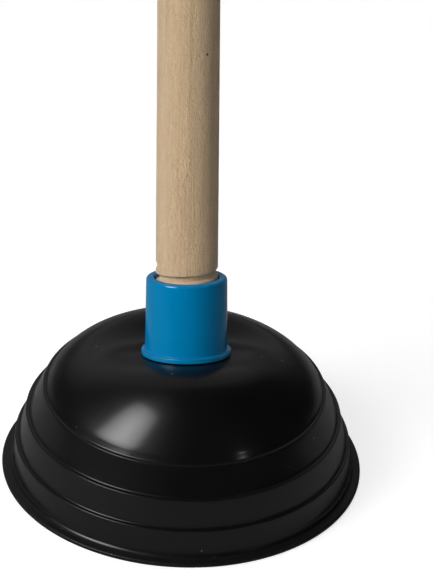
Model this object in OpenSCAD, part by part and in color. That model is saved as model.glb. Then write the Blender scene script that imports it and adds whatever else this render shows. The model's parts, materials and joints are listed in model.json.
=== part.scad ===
// Sink plunger: a stepped rubber cup, a plastic socket clamped to the cup's crown, and a wooden
// handle that screws into the socket. Millimetres. The origin is the centre of the mouth, in the
// plane of the lip, and +Z points up. The handle stands leaning towards +Y, and everything above
// the flexible crown is drawn upright in its own frame, then leaned with it.

/* [Cup] */
// Diameter of the lip
lip_d = 140; // [134:1:150]
// Height of the lip's upper edge, where the lowest band starts
lip_h = 2.4; // [2.4:0.1:4]
// Radius at the foot of the lowest band
bell_r = 65.9; // [62:0.1:66.2]
// Height of each band
band_h = 11.3; // [9:0.1:12]
// Number of bands
bands = 3; // [2:1:4]
// How far the bell draws in over the height of the bands
bell_taper = 11.7; // [9:0.1:13]
// Width of the ledge between two bands
ledge_w = 1.5; // [1:0.1:2]
// Width of the topmost ledge, at the foot of the crown
top_ledge_w = 1.1; // [0.8:0.1:1.5]
// Thickness of the side
wall_t = 3.2; // [2.8:0.1:3.6]
// Height of the crown above the topmost ledge
crown_h = 15.9; // [15:0.1:18]
// Thickness of the crown where the socket is clamped
crown_t = 5; // [4:0.1:6]

/* [Socket] */
// Height of the socket
socket_h = 30.6; // [28:0.2:34]
// Outside diameter at the bottom of the socket
socket_d = 31.9; // [31:0.1:33]
// Outside diameter at the top of the socket
socket_top_d = 31.3; // [30:0.1:31.5]
// Diameter of the flange at its foot
flange_d = 34.8; // [34:0.1:38]
// Height of the flange
flange_h = 2; // [1.5:0.1:3]
// Thickness of the socket's floor
floor_t = 3; // [2.5:0.5:4]
// Diameter of the mouth
socket_bore_d = 25; // [24.6:0.1:25.4]

/* [Handle] */
// Diameter of the handle
handle_d = 24; // [23.6:0.1:24.2]
// Length of the handle
handle_l = 400; // [300:5:500]
// Height of the rounded end
round_h = 13.3; // [12:0.1:16]
// Pitch of the thread
pitch = 4.6; // [4.4:0.1:4.8]
// Depth of the thread
thread_depth = 1.5; // [1.2:0.1:1.8]
// Lean of the handle away from upright
lean = 18; // [0:1:20]

/* [Clamp] */
// Diameter of the bolt
bolt_d = 8; // [8:8]
// Diameter of the washer inside the cup
backing_d = 40; // [36:1:42]

/* [Hidden] */
$fn = 96;

// Bell: the radius of the side at a height, halfway across each ledge
skirt_top = lip_h + bands * band_h;
bell_power = 1.9;
function bell(z) = bell_r - bell_taper * pow((z - lip_h) / (skirt_top - lip_h), bell_power);
function ledge_z(i) = lip_h + i * band_h;
function inner_r(z) = bell(z) - ledge_w / 2 - wall_t;

// Crown: a superellipse that starts at the topmost ledge and ends flat at the seat. Inside, it is
// also flat out to hollow_flat_r, under the backing washer.
seat_z = skirt_top + crown_h;
crown_power = 3.2;
hollow_power = 2.2;
hollow_flat_r = backing_d / 2 + 2;
crown_below = 22;
crown_mid_z = skirt_top - crown_below;
crown_foot_r = bell(skirt_top) - top_ledge_w / 2;
function crown_z(r, foot_r, rise, power, flat_r = 0) =
    let (reach = pow(1 - pow(crown_below / rise, power), 1 / power),
         out = max(0, r - flat_r) / (foot_r - flat_r) * reach)
    crown_mid_z + rise * pow(1 - pow(out, power), 1 / power);

// The crown leans with the socket inside seat_r and not at all outside still_r. At the back, where
// the socket presses it down, it folds closer in than at the front, where it is pulled. Neither of
// its surfaces leans at its own foot, where it joins the side.
seat_r = 22;
still_mid_r = 45;
still_shift = 7;
crown_sides = 48;
crown_rings = 12;
function ease(t) = t * t * (3 - 2 * t);
function still_r(a, foot_r) = min(foot_r, still_mid_r - still_shift * sin(a));
function lean_at(r, a, foot_r) =
    let (outer_r = still_r(a, foot_r))
    -lean * ease(min(1, max(0, (outer_r - r) / (outer_r - seat_r))));
function leaned_point(x, y, z, a) =
    [x, y * cos(a) - (z - seat_z) * sin(a), seat_z + y * sin(a) + (z - seat_z) * cos(a)];
function crown_ring(r, z, foot_r) =
    [for (i = [0:crown_sides - 1])
        let (a = 360 * i / crown_sides)
        leaned_point(r * cos(a), r * sin(a), z, lean_at(r, a, foot_r))];
function ring_radius(i, foot_r) =
    foot_r * cos(90 * i / crown_rings) + hole_r * (1 - cos(90 * i / crown_rings));

// Clamp stack, in the socket's frame, with the crown's seat at 0
hole_r = bolt_d / 2 + 0.2;
bolt_washer_d = 16;
bolt_washer_t = 1.6;
bolt_head_af = 13;
bolt_head_h = 5.3;
backing_t = 2;
lock_t = 2;
lock_d = 14.8;
nut_h = 6.5;
bolt_end = 2;
lock_top = -crown_t - backing_t;
nut_top = lock_top - lock_t;
bolt_bottom = nut_top - nut_h - bolt_end;

// Handle and its thread: rings of the same pitch on the handle and in the socket
handle_z = floor_t + bolt_washer_t + bolt_head_h + 0.3;
thread_clear = 0.1;
crest_w = 1.6;
root_w = 1.4;
turns_in_socket = floor((socket_h - handle_z - 3) / pitch);
turns = turns_in_socket + 2;

module leaned() {
    translate([0, 0, seat_z]) rotate([-lean, 0, 0]) children();
}

// One side of a ringed thread, as an outline that alternates between two radii
function thread_side(z0, count, crest_r, root_r) =
    [for (i = [0:count - 1])
        let (z = z0 + i * pitch, slope = (pitch - crest_w - root_w) / 2)
        each [[crest_r, z], [crest_r, z + crest_w],
              [root_r, z + crest_w + slope], [root_r, z + crest_w + slope + root_w]]];

// Lip and stepped side of the cup, up to the topmost ledge
module cup_skirt() {
    lip_r = lip_d / 2;
    color([0.07, 0.07, 0.07])
        rotate_extrude()
            polygon(concat(
                [[lip_r - 6, 0], [lip_r - 0.8, 0], [lip_r, 0.8], [lip_r - 0.4, 1.8], [bell_r + 0.3, lip_h]],
                [for (i = [0:bands - 1]) each [
                    [bell(ledge_z(i)) - (i == 0 ? 0 : ledge_w / 2), ledge_z(i)],
                    [bell(ledge_z(i + 1)) + (i == bands - 1 ? top_ledge_w : ledge_w) / 2, ledge_z(i + 1)]]],
                [for (i = [bands:-1:1]) [inner_r(ledge_z(i)), ledge_z(i)]],
                [[inner_r(lip_h + 3), lip_h + 3], [lip_r - 7, 1.2]]));
}

// Flexible crown, as a shell of rings that lean more and more towards the seat
module cup_crown() {
    outer_rise = seat_z - crown_mid_z;
    inner_rise = outer_rise - crown_t;
    inner_foot_r = inner_r(skirt_top);
    outer = [for (i = [0:crown_rings]) let (r = ring_radius(i, crown_foot_r))
        crown_ring(r, crown_z(r, crown_foot_r, outer_rise, crown_power), crown_foot_r)];
    inner = [for (i = [crown_rings:-1:0]) let (r = ring_radius(i, inner_foot_r))
        crown_ring(r, crown_z(r, inner_foot_r, inner_rise, hollow_power, hollow_flat_r), inner_foot_r)];
    rings = concat(outer, inner);
    count = len(rings);
    n = crown_sides;
    color([0.09, 0.09, 0.09])
        polyhedron(
            points = [for (ring = rings) each ring],
            faces = [for (k = [0:count - 1], i = [0:n - 1])
                let (a = k * n, b = (k + 1) % count * n, j = (i + 1) % n)
                each [[a + i, b + i, b + j], [a + i, b + j, a + j]]]);
}

// Blue socket: a tapered tube on a flange, ringed inside to hold the handle's thread
module socket() {
    groove_r = handle_d / 2 + thread_clear;
    ridge_r = groove_r - thread_depth;
    rim = 1;
    color([0.02, 0.45, 0.72])
        leaned()
            difference() {
                rotate_extrude()
                    polygon([[0, 0], [flange_d / 2, 0], [flange_d / 2, flange_h - 0.5],
                             [flange_d / 2 - 0.5, flange_h], [socket_d / 2, flange_h],
                             [socket_top_d / 2, socket_h - rim], [socket_top_d / 2 - rim, socket_h],
                             [0, socket_h]]);
                translate([0, 0, -1]) cylinder(r = hole_r, h = floor_t + 2);
                rotate_extrude()
                    polygon(concat(
                        [[0, floor_t], [groove_r, floor_t]],
                        thread_side(handle_z, turns_in_socket, groove_r, ridge_r),
                        [[socket_bore_d / 2, handle_z + turns_in_socket * pitch],
                         [socket_bore_d / 2, socket_h + 1], [0, socket_h + 1]]));
            }
}

// Wooden handle, threaded below and rounded on top
module handle() {
    r = handle_d / 2;
    top = handle_z + handle_l;
    color([0.85, 0.72, 0.55])
        leaned()
            rotate_extrude()
                polygon(concat(
                    [[0, handle_z]],
                    thread_side(handle_z, turns, r, r - thread_depth),
                    [[r, handle_z + turns * pitch]],
                    [for (a = [0:6:90])
                        [r * cos(a), top - round_h + round_h * sin(a)]]));
}

// Hexagon bolt whose head sits on the socket's floor
module clamp_bolt() {
    head_z = floor_t + bolt_washer_t;
    color([0.75, 0.76, 0.78])
        leaned() {
            translate([0, 0, bolt_bottom]) cylinder(d = bolt_d, h = head_z - bolt_bottom + 1);
            translate([0, 0, head_z]) cylinder(d = bolt_head_af / cos(30), h = bolt_head_h, $fn = 6);
        }
}

module washer(d, t, z) {
    color([0.72, 0.73, 0.75])
        leaned()
            translate([0, 0, z])
                difference() {
                    cylinder(d = d, h = t);
                    translate([0, 0, -1]) cylinder(r = hole_r, h = t + 2);
                }
}

module bolt_washer() {
    washer(bolt_washer_d, bolt_washer_t, floor_t);
}

module backing_washer() {
    washer(backing_d, backing_t, lock_top);
}

// Split spring washer
module lock_washer() {
    gap = 1.2;
    color([0.6, 0.61, 0.63])
        leaned()
            translate([0, 0, nut_top])
                difference() {
                    cylinder(d = lock_d, h = lock_t);
                    translate([0, 0, -1]) cylinder(r = hole_r, h = lock_t + 2);
                    translate([0, -gap / 2, -1]) cube([lock_d, gap, lock_t + 2]);
                }
}

module clamp_nut() {
    color([0.75, 0.76, 0.78])
        leaned()
            translate([0, 0, nut_top - nut_h])
                difference() {
                    cylinder(d = bolt_head_af / cos(30), h = nut_h, $fn = 6);
                    translate([0, 0, -1]) cylinder(r = bolt_d / 2 + 0.05, h = nut_h + 2);
                }
}

cup_skirt();
cup_crown();
socket();
handle();
clamp_bolt();
bolt_washer();
backing_washer();
lock_washer();
clamp_nut();
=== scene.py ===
"""Looks of a sink plunger: a stepped black rubber cup, a blue plastic socket and a raw wooden handle.

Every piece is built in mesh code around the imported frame. Lengths are in millimetres up to the last
step, where a mesh is scaled to metres. Pieces above the crown are built upright in the socket's own
frame, with the crown's seat at z = 0, and are then leaned with it.
"""
import json
import math

import bmesh
import bpy
from mathutils import Matrix, Vector


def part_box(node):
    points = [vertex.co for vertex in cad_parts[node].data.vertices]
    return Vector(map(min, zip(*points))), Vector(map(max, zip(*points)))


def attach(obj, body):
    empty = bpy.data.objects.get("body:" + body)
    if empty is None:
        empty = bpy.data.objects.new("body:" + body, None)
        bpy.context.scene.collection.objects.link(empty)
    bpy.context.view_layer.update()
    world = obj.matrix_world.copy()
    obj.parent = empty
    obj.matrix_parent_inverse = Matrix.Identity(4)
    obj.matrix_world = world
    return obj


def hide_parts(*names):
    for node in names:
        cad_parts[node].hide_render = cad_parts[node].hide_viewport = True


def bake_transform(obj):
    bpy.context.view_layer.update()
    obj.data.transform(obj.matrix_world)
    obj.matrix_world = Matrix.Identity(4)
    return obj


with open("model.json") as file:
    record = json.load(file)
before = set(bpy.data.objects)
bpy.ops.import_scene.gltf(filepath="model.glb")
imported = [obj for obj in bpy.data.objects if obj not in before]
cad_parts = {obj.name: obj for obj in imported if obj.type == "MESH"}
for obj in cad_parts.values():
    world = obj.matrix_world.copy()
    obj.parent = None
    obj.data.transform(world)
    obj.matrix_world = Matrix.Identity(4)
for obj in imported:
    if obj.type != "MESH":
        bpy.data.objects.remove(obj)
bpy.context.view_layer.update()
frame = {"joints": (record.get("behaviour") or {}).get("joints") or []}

MM = 0.001
TURN = 2 * math.pi


def joint(name):
    return next(j for j in frame["joints"] if j["name"] == name)


# ---------------------------------------------------------------- sizes, from the frame
SKIRT_LOW, SKIRT_HIGH = (Vector(corner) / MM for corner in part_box("cup_skirt"))
LIP_R = SKIRT_HIGH.x
SKIRT_TOP = SKIRT_HIGH.z
SEAT_Z = joint("lean")["pos_m"][2] / MM
HANDLE_AXIS = Vector(joint("handle_turn")["axis"])
LEAN = math.atan2(HANDLE_AXIS.y, HANDLE_AXIS.z)
LEANED = Matrix.Translation((0, 0, SEAT_Z)) @ Matrix.Rotation(-LEAN, 4, "X")


# ---------------------------------------------------------------- sizes, given here
LIP_H = 2.4
BELL_R = 65.9
BELL_TAPER = 11.7
BELL_POWER = 1.9
BANDS = 3
BAND_H = (SKIRT_TOP - LIP_H) / BANDS
LEDGE_W = 1.5
TOP_LEDGE_W = 1.1
WALL_T = 3.2
CROWN_T = 5.0
CROWN_POWER = 3.2
HOLLOW_POWER = 2.2
CROWN_BELOW = 22.0
CROWN_SEAT_R = 22.0
CROWN_STILL_R = 45.0
CROWN_STILL_SHIFT = 7.0
BOLT_D = 8.0
HOLE_R = BOLT_D / 2 + 0.2
SOCKET_H = 30.6
SOCKET_D = 31.9
SOCKET_TOP_D = 31.3
FLANGE_D = 34.8
FLANGE_H = 2.0
FLOOR_T = 3.0
SOCKET_BORE_D = 25.0
HANDLE_D = 24.0
HANDLE_L = 400.0
ROUND_H = 13.3
PITCH = 4.6
THREAD_DEPTH = 1.5
BOLT_WASHER_D = 16.0
BOLT_WASHER_T = 1.6
HEAD_AF = 13.0
HEAD_H = 5.3
BACKING_D = 40.0
BACKING_T = 2.0
LOCK_D = 14.8
LOCK_T = 2.0
NUT_H = 6.5
BOLT_END = 2.0
HANDLE_Z = FLOOR_T + BOLT_WASHER_T + HEAD_H + 0.3
HANDLE_TOP = HANDLE_Z + HANDLE_L
END_GRAIN = 8.5
PIT = (6.2, -10.3, 119.8)


# ---------------------------------------------------------------- mesh tools
def ease(t):
    t = min(1.0, max(0.0, t))
    return t * t * (3 - 2 * t)


def rounded(corners, step=12):
    """An outline of (r, z, radius) corners as (r, z) points, with an arc wherever there is a radius."""
    points = []
    count = len(corners)
    for i, (r, z, radius) in enumerate(corners):
        here = Vector((r, z))
        if radius == 0:
            points.append((r, z))
            continue
        before = (Vector(corners[i - 1][:2]) - here).normalized()
        after = (Vector(corners[(i + 1) % count][:2]) - here).normalized()
        half = before.angle(after) / 2
        reach = radius / math.tan(half)
        centre = here + (before + after).normalized() * (radius / math.sin(half))
        start = here + before * reach - centre
        sweep = start.angle_signed(here + after * reach - centre)
        arcs = max(2, math.ceil(abs(math.degrees(sweep)) / step))
        for k in range(arcs + 1):
            turned = start.copy()
            turned.rotate(Matrix.Rotation(-sweep * k / arcs, 2))
            points.append(tuple(centre + turned))
    return points


def subdivided(points, longest):
    """The closed outline with extra points, so that no side is longer than longest."""
    result = []
    for i, a in enumerate(points):
        b = points[(i + 1) % len(points)]
        parts = max(1, math.ceil(math.dist(a, b) / longest))
        for k in range(parts):
            t = k / parts
            result.append((a[0] + (b[0] - a[0]) * t, a[1] + (b[1] - a[1]) * t))
    return result


def surface(name, rows, place=None, closed_rows=True, caps=()):
    """A mesh of rings, each a list of points. rows[i] joins rows[i + 1]; caps lists rings closed by a
    fan.
    """
    vertices = [point for row in rows for point in row]
    n = len(rows[0])
    last = len(rows) if closed_rows else len(rows) - 1
    faces = []
    for k in range(last):
        a, b = k * n, (k + 1) % len(rows) * n
        faces += [(a + i, a + (i + 1) % n, b + (i + 1) % n, b + i) for i in range(n)]
    for k in caps:
        row = rows[k]
        centre = sum((Vector(p) for p in row), Vector()) / n
        vertices.append(tuple(centre))
        hub = len(vertices) - 1
        start = k % len(rows) * n
        for i in range(n):
            edge = (start + i, start + (i + 1) % n)
            faces.append((hub, *edge) if k != 0 else (hub, *reversed(edge)))
    mesh = bpy.data.meshes.new(name)
    mesh.from_pydata(vertices, [], faces)
    rest = mesh.attributes.new("rest", "FLOAT_VECTOR", "POINT")
    rest.data.foreach_set("vector", [c for v in vertices for c in v])
    mesh.shade_smooth()
    if place:
        mesh.transform(place)
    mesh.transform(Matrix.Scale(MM, 4))
    piece = bpy.data.objects.new(name, mesh)
    bpy.context.scene.collection.objects.link(piece)
    fix_normals(piece)
    return piece


def fix_normals(piece):
    work = bmesh.new()
    work.from_mesh(piece.data)
    bmesh.ops.recalc_face_normals(work, faces=work.faces)
    work.to_mesh(piece.data)
    work.free()


def ring(r, z, sides):
    return [(r * math.cos(TURN * i / sides), r * math.sin(TURN * i / sides), z) for i in range(sides)]


def lathe(name, outline, place=None, sides=256, longest=4.0):
    """A closed outline of (r, z) points turned about the z axis."""
    points = subdivided(outline, longest)
    return surface(name, [ring(r, z, sides) for r, z in points], place)


def crease(piece, degrees):
    """Keeps edges sharper than this crisp while the rest is shaded smooth."""
    piece.data.set_sharp_from_angle(angle=math.radians(degrees))


# ---------------------------------------------------------------- rubber cup
def bell(z):
    return BELL_R - BELL_TAPER * ((z - LIP_H) / (SKIRT_TOP - LIP_H)) ** BELL_POWER


def inner_wall(z):
    return bell(z) - LEDGE_W / 2 - WALL_T


CROWN_FOOT_R = bell(SKIRT_TOP) - TOP_LEDGE_W / 2
CROWN_MID_Z = SKIRT_TOP - CROWN_BELOW
LEDGE_ROUND = 0.5
LEDGE_FILLET = 0.8
# the crown's outside starts this many steps up from its foot, where the ledge's fillet ends
FILLET_STEPS = 9


def crown_height(r, foot_r, rise, power, flat_r):
    """Height of the upright crown at a radius: flat to flat_r, then a superellipse to its foot."""
    reach = (1 - (CROWN_BELOW / rise) ** power) ** (1 / power)
    out = max(0.0, r - flat_r) / (foot_r - flat_r) * reach
    return CROWN_MID_Z + rise * (1 - out ** power) ** (1 / power)


def crown_share(r, a, foot_r):
    """How far the crown follows the socket: wholly under its seat and not at all at the foot.

    At the back, where the socket presses it down, it folds closer in than at the front, where it is
    pulled.
    """
    still_r = min(foot_r, CROWN_STILL_R - CROWN_STILL_SHIFT * math.sin(a))
    return ease((still_r - r) / (still_r - CROWN_SEAT_R))


def make_cup_skirt():
    corners = [(LIP_R - 5.6, 0, 0.5), (LIP_R, 0, 0.7), (LIP_R, 1.7, 0.7), (BELL_R, LIP_H, 2.2)]
    for i in range(1, BANDS):
        z = LIP_H + i * BAND_H
        corners.append((bell(z) + LEDGE_W / 2, z, LEDGE_ROUND))
        corners.append((bell(z) - LEDGE_W / 2, z, LEDGE_FILLET))
    corners.append((bell(SKIRT_TOP) + TOP_LEDGE_W / 2, SKIRT_TOP, LEDGE_ROUND))
    corners.append((CROWN_FOOT_R, SKIRT_TOP, 0))
    for i in range(BANDS, 0, -1):
        z = LIP_H + i * BAND_H
        corners.append((inner_wall(z), z, 3 if i < BANDS else 0))
    corners.append((inner_wall(LIP_H + 3), LIP_H + 3, 3))
    piece = lathe("rubber_cup_skirt", rounded(corners), longest=1.5, sides=288)
    crease(piece, 50)
    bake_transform(piece)
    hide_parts("cup_skirt")
    return piece


def make_cup_crown():
    rise = SEAT_Z - CROWN_MID_Z
    outside = (CROWN_FOOT_R, rise, CROWN_POWER, 0)
    inside = (inner_wall(SKIRT_TOP), rise - CROWN_T, HOLLOW_POWER, BACKING_D / 2 + 2)
    sides, steps = 288, 64
    corners = [(CROWN_FOOT_R + 1, SKIRT_TOP, 0), (CROWN_FOOT_R, SKIRT_TOP, LEDGE_FILLET)]
    for wall, first, order in ((outside, FILLET_STEPS, 1), (inside, 0, -1)):
        side = []
        for i in range(first, steps + 1):
            a = math.pi / 2 * i / steps
            r = wall[0] * math.cos(a) + HOLE_R * (1 - math.cos(a))
            side.append((r, crown_height(r, *wall), 0))
        corners += side[::order]
    # the fillet starts on the ledge, so the corner that only gave it its direction is dropped
    outline = rounded(corners)[1:]
    rows = [ring(r, z, sides) for r, z in outline]
    piece = surface("rubber_cup_crown", rows)
    feet = [outside[0]] * (len(outline) - steps - 1) + [inside[0]] * (steps + 1)
    shares = [crown_share(r, TURN * i / sides, foot_r)
              for (r, z), foot_r in zip(outline, feet) for i in range(sides)]
    pivot = Vector((0, 0, SEAT_Z * MM))
    for vertex, share in zip(piece.data.vertices, shares):
        vertex.co = Matrix.Rotation(-LEAN * share, 3, "X") @ (vertex.co - pivot) + pivot
    crease(piece, 50)
    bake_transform(piece)
    # the crown gives radially, from its foot to the seat, and not by height
    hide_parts("cup_crown")
    return piece


# ---------------------------------------------------------------- socket and handle
def make_socket():
    bore_r = SOCKET_BORE_D / 2
    thread_r = HANDLE_D / 2 + 0.15
    corners = [
        (HOLE_R, 0, 0.2), (FLANGE_D / 2, 0, 0.35), (FLANGE_D / 2 - 0.1, FLANGE_H - 0.1, 0.4),
        (SOCKET_D / 2, FLANGE_H, 0.4), (SOCKET_TOP_D / 2, SOCKET_H, 1.3), (bore_r, SOCKET_H, 0.7),
        (bore_r, HANDLE_Z + 14, 0), (thread_r, HANDLE_Z + 13, 0), (thread_r, FLOOR_T, 0.5),
        (HOLE_R, FLOOR_T, 0.2)]
    piece = lathe("blue_socket", rounded(corners), LEANED, sides=192)
    crease(piece, 50)
    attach(piece, "socket")
    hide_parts("socket")
    return piece


# The groove's centre on the side that faces -Y, just above the socket's rim, and where it runs out
GROOVE_Z = SOCKET_H + 1.3
RUN_OUT_FROM = math.radians(60)
RUN_OUT_TO = math.radians(255)


def handle_radius(a, z):
    """Radius of the threaded end at an angle and a height: a right-hand groove that fades out upwards."""
    groove_z = GROOVE_Z + PITCH * (a + math.pi / 2) / TURN
    turn = round((z - groove_z) / PITCH)
    off = abs((z - groove_z) / PITCH - turn)
    depth = THREAD_DEPTH * (1 - ease((off - 0.12) / 0.24))
    total = a + TURN * turn
    return HANDLE_D / 2 - depth * (1 - ease((total - RUN_OUT_FROM) / (RUN_OUT_TO - RUN_OUT_FROM)))


# The threaded end has close rings and the plain shaft wide ones. The end's outline is a superellipse.
THREAD_STEP = 0.15
SHAFT_STEP = 4
END_RINGS = 33
END_POWER = 1.8


def make_handle():
    sides = 192
    thread_end = SOCKET_H + 9
    chamfer = 1.2
    thread_start = HANDLE_Z + chamfer
    shaft_end = HANDLE_TOP - ROUND_H
    thread_rings = int((thread_end - HANDLE_Z - chamfer) / THREAD_STEP)
    heights = [thread_start + THREAD_STEP * k for k in range(thread_rings)]
    heights += [thread_end + SHAFT_STEP * k for k in range(int((shaft_end - thread_end) / SHAFT_STEP))]
    angles = [TURN * i / sides - math.pi for i in range(sides)]
    rows = []
    for inset in (1.0, 0.5):
        z = HANDLE_Z + chamfer * (1 - inset)
        radii = [handle_radius(a, z) - chamfer * inset for a in angles]
        rows.append([(r * math.cos(a), r * math.sin(a), z) for r, a in zip(radii, angles)])
    for z in heights:
        radii = [handle_radius(a, z) for a in angles]
        rows.append([(r * math.cos(a), r * math.sin(a), z) for r, a in zip(radii, angles)])
    for k in range(END_RINGS):
        a = math.pi / 2 * k / END_RINGS
        r = HANDLE_D / 2 * math.cos(a) ** (2 / END_POWER)
        z = shaft_end + ROUND_H * math.sin(a) ** (2 / END_POWER)
        rows.append([(r * math.cos(b), r * math.sin(b), z) for b in angles])
    piece = surface("wooden_handle", rows, LEANED, closed_rows=False, caps=(0, len(rows) - 1))
    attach(piece, "handle")
    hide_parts("handle")
    return piece


# ---------------------------------------------------------------- clamp
LOCK_TOP = -CROWN_T - BACKING_T
NUT_TOP = LOCK_TOP - LOCK_T
BOLT_BOTTOM = NUT_TOP - NUT_H - BOLT_END
# thread of the M8 bolt: pitch, depth, and the height between two rings of its mesh
THREAD_PITCH = 1.25
THREAD_IN = 0.55
BOLT_STEP = 0.1


def make_washer(name, node, outer_d, low, thick):
    outer_r = outer_d / 2
    high = low + thick
    corners = [(HOLE_R, low, 0.2), (outer_r, low, 0.35), (outer_r, high, 0.35), (HOLE_R, high, 0.2)]
    piece = lathe(name, rounded(corners, 20), LEANED, sides=128)
    crease(piece, 50)
    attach(piece, "socket")
    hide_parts(node)
    return piece


CONE = 1.73
CHAMFER_START = 0.97


def hex_radius(a, across_flats):
    """Distance from the axis to a hexagon's side, at an angle."""
    part = (a + TURN / 12) % (TURN / 6) - TURN / 12
    return across_flats / 2 / math.cos(part)


def hex_rows(low, high, across_flats, sides, chamfered):
    """Rings up a hexagon whose corners are cut by a 30 degree cone at the chamfered ends.

    The cone starts a little inside the flats and widens by CONE for each unit of height.
    """
    flat_r = across_flats / 2
    height = high - low
    rows = []
    depths = [0, 0.15, 0.3, 0.45, 0.6, 0.8, 1.0, 1.2]
    levels = [(low + d, d) for d in depths] + [(high - d, d) for d in reversed(depths)]
    for z, d in levels:
        cut = chamfered[0] if z < low + height / 2 else chamfered[1]
        limit = flat_r * CHAMFER_START + d * CONE if cut else math.inf
        row = []
        for i in range(sides):
            a = TURN * i / sides
            r = min(hex_radius(a, across_flats), limit)
            row.append((r * math.cos(a), r * math.sin(a), z))
        rows.append(row)
    return rows


def make_bolt():
    sides = 144
    head_z = FLOOR_T + BOLT_WASHER_T
    rows = []
    steps = int((head_z - BOLT_BOTTOM) / BOLT_STEP)
    for k in range(steps + 1):
        z = BOLT_BOTTOM + (head_z - BOLT_BOTTOM) * k / steps
        row = []
        for i in range(sides):
            a = TURN * i / sides
            phase = ((z - THREAD_PITCH * a / TURN) / THREAD_PITCH) % 1
            r = BOLT_D / 2 - 0.05 - THREAD_IN * (1 - abs(2 * phase - 1))
            r = min(r, BOLT_D / 2 - 1 + (z - BOLT_BOTTOM))
            row.append((r * math.cos(a), r * math.sin(a), z))
        rows.append(row)
    rows += hex_rows(head_z, head_z + HEAD_H, HEAD_AF, sides, (False, True))
    piece = surface("clamp_bolt_m8", rows, LEANED, closed_rows=False, caps=(0, len(rows) - 1))
    crease(piece, 25)
    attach(piece, "socket")
    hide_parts("clamp_bolt")
    return piece


def make_nut():
    sides = 144
    low, high = NUT_TOP - NUT_H, NUT_TOP
    bore = BOLT_D / 2 + 0.05
    rows = [ring(bore + 0.5, low, sides)] + hex_rows(low, high, HEAD_AF, sides, (True, True))
    rows += [ring(bore + 0.5, high, sides), ring(bore, high - 0.5, sides), ring(bore, low + 0.5, sides)]
    piece = surface("clamp_nut_m8", rows, LEANED)
    crease(piece, 25)
    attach(piece, "socket")
    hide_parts("clamp_nut")
    return piece


def make_lock_washer():
    """A square-section split ring whose two ends spring apart a little."""
    steps = 120
    gap = math.radians(9)
    inner, outer = HOLE_R, LOCK_D / 2
    low, high = NUT_TOP, LOCK_TOP
    bevel = 0.2
    section = [(inner + bevel, low), (outer - bevel, low), (outer, low + bevel), (outer, high - bevel),
               (outer - bevel, high), (inner + bevel, high), (inner, high - bevel), (inner, low + bevel)]
    rows = []
    for k in range(steps + 1):
        a = gap / 2 + (TURN - gap) * k / steps
        rows.append([(r * math.cos(a), r * math.sin(a), z) for r, z in section])
    piece = surface("split_lock_washer", rows, LEANED, closed_rows=False, caps=(0, len(rows) - 1))
    crease(piece, 25)
    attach(piece, "socket")
    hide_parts("lock_washer")
    return piece


# ---------------------------------------------------------------- materials
class Nodes:
    """A material's node tree, with short calls to add nodes and link them."""

    def __init__(self, name):
        self.material = bpy.data.materials.new(name)
        self.material.use_nodes = True
        self.tree = self.material.node_tree
        self.shader = self.tree.nodes["Principled BSDF"]

    def add(self, kind, inputs=None, **settings):
        node = self.tree.nodes.new(kind)
        for key, value in settings.items():
            setattr(node, key, value)
        for key, value in (inputs or {}).items():
            self.put(node, key, value)
        return node

    def put(self, node, key, value):
        if isinstance(value, bpy.types.NodeSocket):
            self.tree.links.new(value, node.inputs[key])
        else:
            node.inputs[key].default_value = value

    def set(self, **values):
        for key, value in values.items():
            self.put(self.shader, key.replace("_", " "), value)

    def rest(self):
        """Position on the piece as built, in millimetres, so a pattern stays put when the piece moves."""
        return self.add("ShaderNodeAttribute", attribute_name="rest").outputs["Vector"]

    def scaled(self, vector, x, y, z):
        node = self.add("ShaderNodeVectorMath", {0: vector, 1: (x, y, z)}, operation="MULTIPLY")
        return node.outputs[0]

    def noise(self, vector, scale, detail=3.0, rough=0.5, distortion=0.0):
        node = self.add("ShaderNodeTexNoise", {
            "Vector": vector, "Scale": scale, "Detail": detail, "Roughness": rough, "Distortion": distortion})
        return node.outputs["Fac"]

    def math(self, operation, a, b=0.0, clamp=False):
        node = self.add("ShaderNodeMath", {0: a, 1: b}, operation=operation, use_clamp=clamp)
        return node.outputs[0]

    def remap(self, value, low, high, to_low=0.0, to_high=1.0):
        node = self.add("ShaderNodeMapRange", {
            "Value": value, "From Min": low, "From Max": high, "To Min": to_low, "To Max": to_high},
            interpolation_type="SMOOTHSTEP")
        return node.outputs["Result"]

    def mix(self, share, a, b):
        node = self.add("ShaderNodeMix", data_type="RGBA")
        self.put(node, 0, share)
        self.put(node, 6, a)
        self.put(node, 7, b)
        return node.outputs[2]

    def bump(self, height, strength, distance):
        node = self.add("ShaderNodeBump", {"Height": height, "Strength": strength, "Distance": distance})
        return node.outputs["Normal"]


def specks(nodes, position, cell, size, share):
    """White where a small round speck lies: one per Voronoi cell, on a share of the cells."""
    voronoi = nodes.add("ShaderNodeTexVoronoi", {"Vector": position, "Scale": 1 / cell, "Randomness": 1.0})
    near = nodes.remap(voronoi.outputs["Distance"], size, size * 0.5)
    pick = nodes.add("ShaderNodeSeparateColor", {0: voronoi.outputs["Color"]}).outputs[0]
    chosen = nodes.math("LESS_THAN", pick, share)
    return nodes.math("MULTIPLY", near, chosen)


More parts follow.
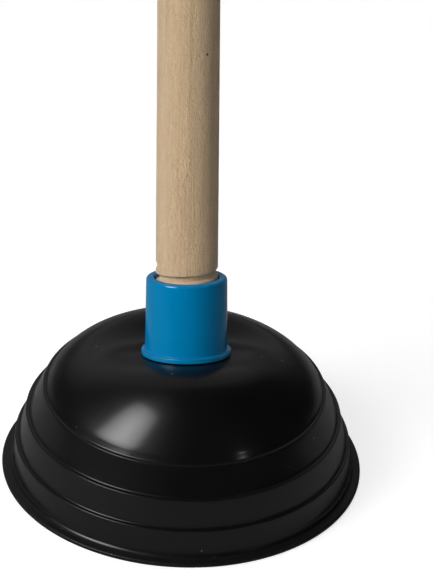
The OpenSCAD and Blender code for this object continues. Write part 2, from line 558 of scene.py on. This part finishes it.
def rubber():
    nodes = Nodes("black_rubber")
    position = nodes.rest()
    height = nodes.add("ShaderNodeSeparateXYZ", {0: position}).outputs[2]
    lip = nodes.remap(height, LIP_H + 0.4, LIP_H - 0.2)
    cloud = nodes.noise(position, 0.05, 4.0, 0.55)
    fine = nodes.noise(position, 1.2, 4.0, 0.6)
    dust = nodes.math("MAXIMUM", specks(nodes, position, 9.0, 0.045, 0.28),
                      nodes.math("MULTIPLY", lip, specks(nodes, position, 3.0, 0.10, 0.3)))
    black = nodes.mix(cloud, (0.0022, 0.0021, 0.0023, 1), (0.004, 0.004, 0.0042, 1))
    black = nodes.mix(lip, black, nodes.mix(fine, (0.003, 0.003, 0.0031, 1), (0.008, 0.008, 0.0082, 1)))
    nodes.set(Base_Color=nodes.mix(dust, black, (0.16, 0.155, 0.15, 1)))
    haze = nodes.math("ADD", nodes.remap(cloud, 0.3, 0.7, 0.38, 0.46), nodes.math("MULTIPLY", lip, 0.1))
    nodes.set(Roughness=haze, IOR=1.5, Specular_IOR_Level=0.16, Normal=nodes.bump(fine, 0.06, 0.0002))
    # a thin film of mould polish on top of the satin rubber gives the crisp reflections
    polish = nodes.math("MULTIPLY", nodes.math("SUBTRACT", 1.0, dust), nodes.remap(lip, 0, 1, 0.27, 0.15))
    nodes.set(Coat_Weight=polish, Coat_IOR=1.75)
    polish_haze = nodes.remap(fine, 0.3, 0.7, 0.15, 0.19)
    nodes.set(Coat_Roughness=nodes.math("ADD", polish_haze, nodes.math("MULTIPLY", lip, 0.15)))
    return nodes.material


def blue_plastic():
    nodes = Nodes("blue_moulded_plastic")
    position = nodes.rest()
    cloud = nodes.noise(position, 0.08, 3.0)
    fine = nodes.noise(position, 2.2, 4.0, 0.6)
    blue = nodes.mix(cloud, (0.0, 0.215, 0.47, 1), (0.0, 0.23, 0.51, 1))
    fleck = specks(nodes, position, 11.0, 0.035, 0.3)
    nodes.set(Base_Color=nodes.mix(fleck, blue, (0.5, 0.6, 0.7, 1)))
    # the rim and the flange's edge are polished by handling
    height = nodes.add("ShaderNodeSeparateXYZ", {0: position}).outputs[2]
    rim = nodes.remap(height, SOCKET_H - 1.6, SOCKET_H - 0.6)
    polished = nodes.math("MAXIMUM", rim, nodes.remap(height, FLANGE_H + 0.3, FLANGE_H))
    nodes.set(Roughness=nodes.remap(fine, 0.3, 0.7, 0.09, 0.13), IOR=1.5)
    nodes.set(Specular_IOR_Level=nodes.remap(polished, 0, 1, 0.1, 0.5))
    nodes.set(Normal=nodes.bump(fine, 0.08, 0.00015))
    return nodes.material


def wood():
    nodes = Nodes("raw_beech")
    position = nodes.rest()
    broad = nodes.noise(nodes.scaled(position, 1, 1, 0.012), 0.11, 3.0, 0.5)
    streak = nodes.noise(nodes.scaled(position, 1, 1, 0.02), 0.55, 5.0, 0.6, 0.3)
    fibre = nodes.noise(nodes.scaled(position, 1, 1, 0.07), 2.4, 4.0, 0.65)
    flecks = nodes.add("ShaderNodeTexVoronoi", {
        "Vector": nodes.scaled(position, 1, 1, 0.16), "Scale": 0.8, "Randomness": 1.0}).outputs["Distance"]
    fleck = nodes.math("MULTIPLY", nodes.remap(flecks, 0.16, 0.05), 0.3)
    toned = nodes.mix(broad, (0.80, 0.57, 0.33, 1), (0.90, 0.66, 0.415, 1))
    toned = nodes.mix(nodes.remap(streak, 0.42, 0.75, 0, 0.5), toned, (0.57, 0.385, 0.22, 1))
    toned = nodes.mix(nodes.remap(fibre, 0.45, 0.75, 0, 0.38), toned, (0.485, 0.31, 0.16, 1))
    toned = nodes.mix(fleck, toned, (0.32, 0.19, 0.09, 1))
    # greyer end grain, with a torn edge, on the rounded end
    height = nodes.add("ShaderNodeSeparateXYZ", {0: position}).outputs[2]
    torn = nodes.math("ADD", nodes.math("MULTIPLY", fibre, 3.0), height)
    end_grain = nodes.remap(torn, HANDLE_TOP - END_GRAIN, HANDLE_TOP - END_GRAIN + 1.5)
    toned = nodes.mix(nodes.math("MULTIPLY", end_grain, 0.45), toned, (0.36, 0.27, 0.20, 1))
    # one dark pit
    away = nodes.add("ShaderNodeVectorMath", {0: position, 1: PIT}, operation="DISTANCE").outputs["Value"]
    pit = nodes.remap(away, 0.6, 0.3)
    toned = nodes.mix(pit, toned, (0.05, 0.035, 0.025, 1))
    nodes.set(Base_Color=toned, Roughness=nodes.remap(fibre, 0.3, 0.7, 0.5, 0.62), IOR=1.45)
    nodes.set(Sheen_Weight=0.5, Sheen_Roughness=0.3)
    # raised grain: short wavy ridges along the handle over a finer tooth
    ripple = nodes.noise(nodes.scaled(position, 1, 1, 0.5), 0.8, 3.0, 0.6, 1.4)
    tooth = nodes.noise(nodes.scaled(position, 1, 1, 0.3), 3.0, 3.0, 0.6)
    fine = nodes.math("MULTIPLY", nodes.math("ADD", tooth, fibre), 0.4)
    relief = nodes.math("SUBTRACT", nodes.math("ADD", ripple, fine), pit)
    nodes.set(Normal=nodes.bump(relief, 1.0, 0.0009))
    return nodes.material


def zinc_steel():
    nodes = Nodes("zinc_plated_steel")
    position = nodes.rest()
    cloud = nodes.noise(position, 0.35, 4.0)
    fine = nodes.noise(position, 3.0, 3.0)
    nodes.set(Base_Color=nodes.mix(cloud, (0.48, 0.49, 0.5, 1), (0.66, 0.67, 0.69, 1)))
    nodes.set(Metallic=1.0, Roughness=nodes.remap(cloud, 0.3, 0.7, 0.25, 0.42))
    nodes.set(Normal=nodes.bump(fine, 0.12, 0.0001))
    return nodes.material


def dress(material, slot, *pieces):
    for piece in pieces:
        piece.data.materials.clear()
        piece.data.materials.append(material)


# ---------------------------------------------------------------- stage, light and camera
def floor_material():
    nodes = Nodes("pale_floor")
    fine = nodes.noise(nodes.add("ShaderNodeTexCoord").outputs["Object"], 3.0, 4.0)
    nodes.set(Base_Color=nodes.mix(fine, (0.42, 0.42, 0.42, 1), (0.45, 0.45, 0.45, 1)), Roughness=0.8)
    # overexposed as in a studio shot: the camera sees the floor brighter than the object does
    seen = nodes.add("ShaderNodeLightPath").outputs["Is Camera Ray"]
    nodes.set(Emission_Color=(1, 1, 1, 1), Emission_Strength=nodes.math("MULTIPLY", seen, 0.74))
    return nodes.material


def make_floor(half=12.0):
    mesh = bpy.data.meshes.new("floor")
    # a hair below the lip, so the two faces don't flicker
    z = -0.00005
    corners = [(-half, -half, z), (half, -half, z), (half, half, z), (-half, half, z)]
    mesh.from_pydata(corners, [], [(0, 1, 2, 3)])
    floor = bpy.data.objects.new("floor", mesh)
    bpy.context.scene.collection.objects.link(floor)
    floor.data.materials.append(floor_material())


def direction(azimuth, elevation):
    """Unit vector towards a place in the sky. Azimuth 0 is towards -Y and 90 towards +X."""
    a, e = math.radians(azimuth), math.radians(elevation)
    return Vector((math.sin(a) * math.cos(e), -math.cos(a) * math.cos(e), math.sin(e)))


def area_light(name, azimuth, elevation, distance, width, height, radiance,
               spread=180, shape="RECTANGLE", matt=False):
    """A lamp that faces the object. A narrow spread lets its radiance fall off from the middle; a matt
    one gives no reflections.
    """
    half = math.radians(spread) / 2
    data = bpy.data.lights.new(name, "AREA")
    data.shape = shape
    data.size = width
    data.size_y = height
    fill = 1 if shape == "RECTANGLE" else math.pi / 4
    data.spread = math.radians(spread)
    narrowing = 1 if spread == 180 else 1 - half / math.tan(half)
    data.energy = radiance * math.pi * width * height * fill * narrowing
    light = bpy.data.objects.new(name, data)
    toward = direction(azimuth, elevation)
    light.location = Vector((0, 0, 0.05)) + toward * distance
    light.visible_glossy = not matt
    light.rotation_mode = "QUATERNION"
    light.rotation_quaternion = toward.to_track_quat("Z", "Y")
    bpy.context.scene.collection.objects.link(light)


# Pale walls in the dim room, each as azimuth, elevation, half width to the dim side of its soft edge,
# half width to the bright side, and strength
WALLS = (
    (180, 45, 42, 24, 0.30),
    (180, -5, 50, 30, 0.05),
)
AMBIENT = 0.015


def make_world():
    """A dim room with soft glows in it, which the camera itself sees as plain white."""
    world = bpy.data.worlds.new("studio")
    bpy.context.scene.world = world
    world.use_nodes = True
    tree = world.node_tree

    def step(kind, operation, *values):
        node = tree.nodes.new(kind)
        node.operation = operation
        for slot, value in enumerate(values):
            if isinstance(value, bpy.types.NodeSocket):
                tree.links.new(value, node.inputs[slot])
            else:
                node.inputs[slot].default_value = value
        return node.outputs["Value"]

    toward = tree.nodes.new("ShaderNodeTexCoord").outputs["Generated"]
    total = AMBIENT
    for azimuth, elevation, dim, bright, strength in WALLS:
        near = step("ShaderNodeVectorMath", "DOT_PRODUCT", toward, direction(azimuth, elevation))
        edge = tree.nodes.new("ShaderNodeMapRange")
        edge.interpolation_type = "SMOOTHSTEP"
        tree.links.new(near, edge.inputs["Value"])
        edge.inputs["From Min"].default_value = math.cos(math.radians(dim))
        edge.inputs["From Max"].default_value = math.cos(math.radians(bright))
        total = step("ShaderNodeMath", "MULTIPLY_ADD", edge.outputs["Result"], strength, total)
    seen = tree.nodes.new("ShaderNodeLightPath").outputs["Is Camera Ray"]
    total = step("ShaderNodeMath", "MAXIMUM", total, seen)
    tree.links.new(total, tree.nodes["Background"].inputs["Strength"])
    tree.nodes["Background"].inputs["Color"].default_value = (1, 1, 1, 1)


# The camera stands above and in front, slightly left of the way the handle leans away
CAMERA_AZIMUTH = -7.2
CAMERA_ELEVATION = 32.24
CAMERA_ROLL = 2.8
CAMERA_DISTANCE = 2.1
CAMERA_LENS = 339.5
AIM_RIGHT = 0.01406
AIM_UP = 0.07054


def make_camera():
    data = bpy.data.cameras.new("camera")
    data.sensor_width = 36
    data.lens = CAMERA_LENS
    data.clip_end = 100
    camera = bpy.data.objects.new("camera", data)
    bpy.context.scene.collection.objects.link(camera)
    back = direction(CAMERA_AZIMUTH, CAMERA_ELEVATION)
    level = back.to_track_quat("Z", "Y")
    turned = level @ Matrix.Rotation(math.radians(CAMERA_ROLL), 4, "Z").to_quaternion()
    aim = turned @ Vector((AIM_RIGHT, AIM_UP, 0))
    camera.location = aim + back * CAMERA_DISTANCE
    camera.rotation_mode = "QUATERNION"
    camera.rotation_quaternion = turned
    bpy.context.scene.camera = camera


# ---------------------------------------------------------------- the object
make_camera()
cup = [make_cup_skirt(), make_cup_crown()]
socket = make_socket()
handle = make_handle()
fasteners = [
    make_bolt(),
    make_washer("head_washer", "bolt_washer", BOLT_WASHER_D, FLOOR_T, BOLT_WASHER_T),
    make_washer("backing_washer_disc", "backing_washer", BACKING_D, LOCK_TOP, BACKING_T),
    make_lock_washer(),
    make_nut(),
]
dress(rubber(), "rubber", *cup)
dress(blue_plastic(), "blue_plastic", socket)
dress(wood(), "wood", handle)
dress(zinc_steel(), "zinc_steel", *fasteners)

make_floor()
make_world()
area_light("key", -67.5, 41, 2.0, 1.08, 1.08, 16.0, 44)
area_light("glint", 43, 27, 1.2, 0.045, 0.045, 34, shape="DISK")
area_light("fill", -28, 35, 2.5, 1.5, 1.5, 2.0, matt=True)
area_light("bounce", 105, 20, 2.5, 1.5, 1.5, 0.5, matt=True)
area_light("back", 170, 30, 2.5, 1.5, 1.5, 1.3, matt=True)
bpy.context.scene.view_settings.view_transform = "Standard"
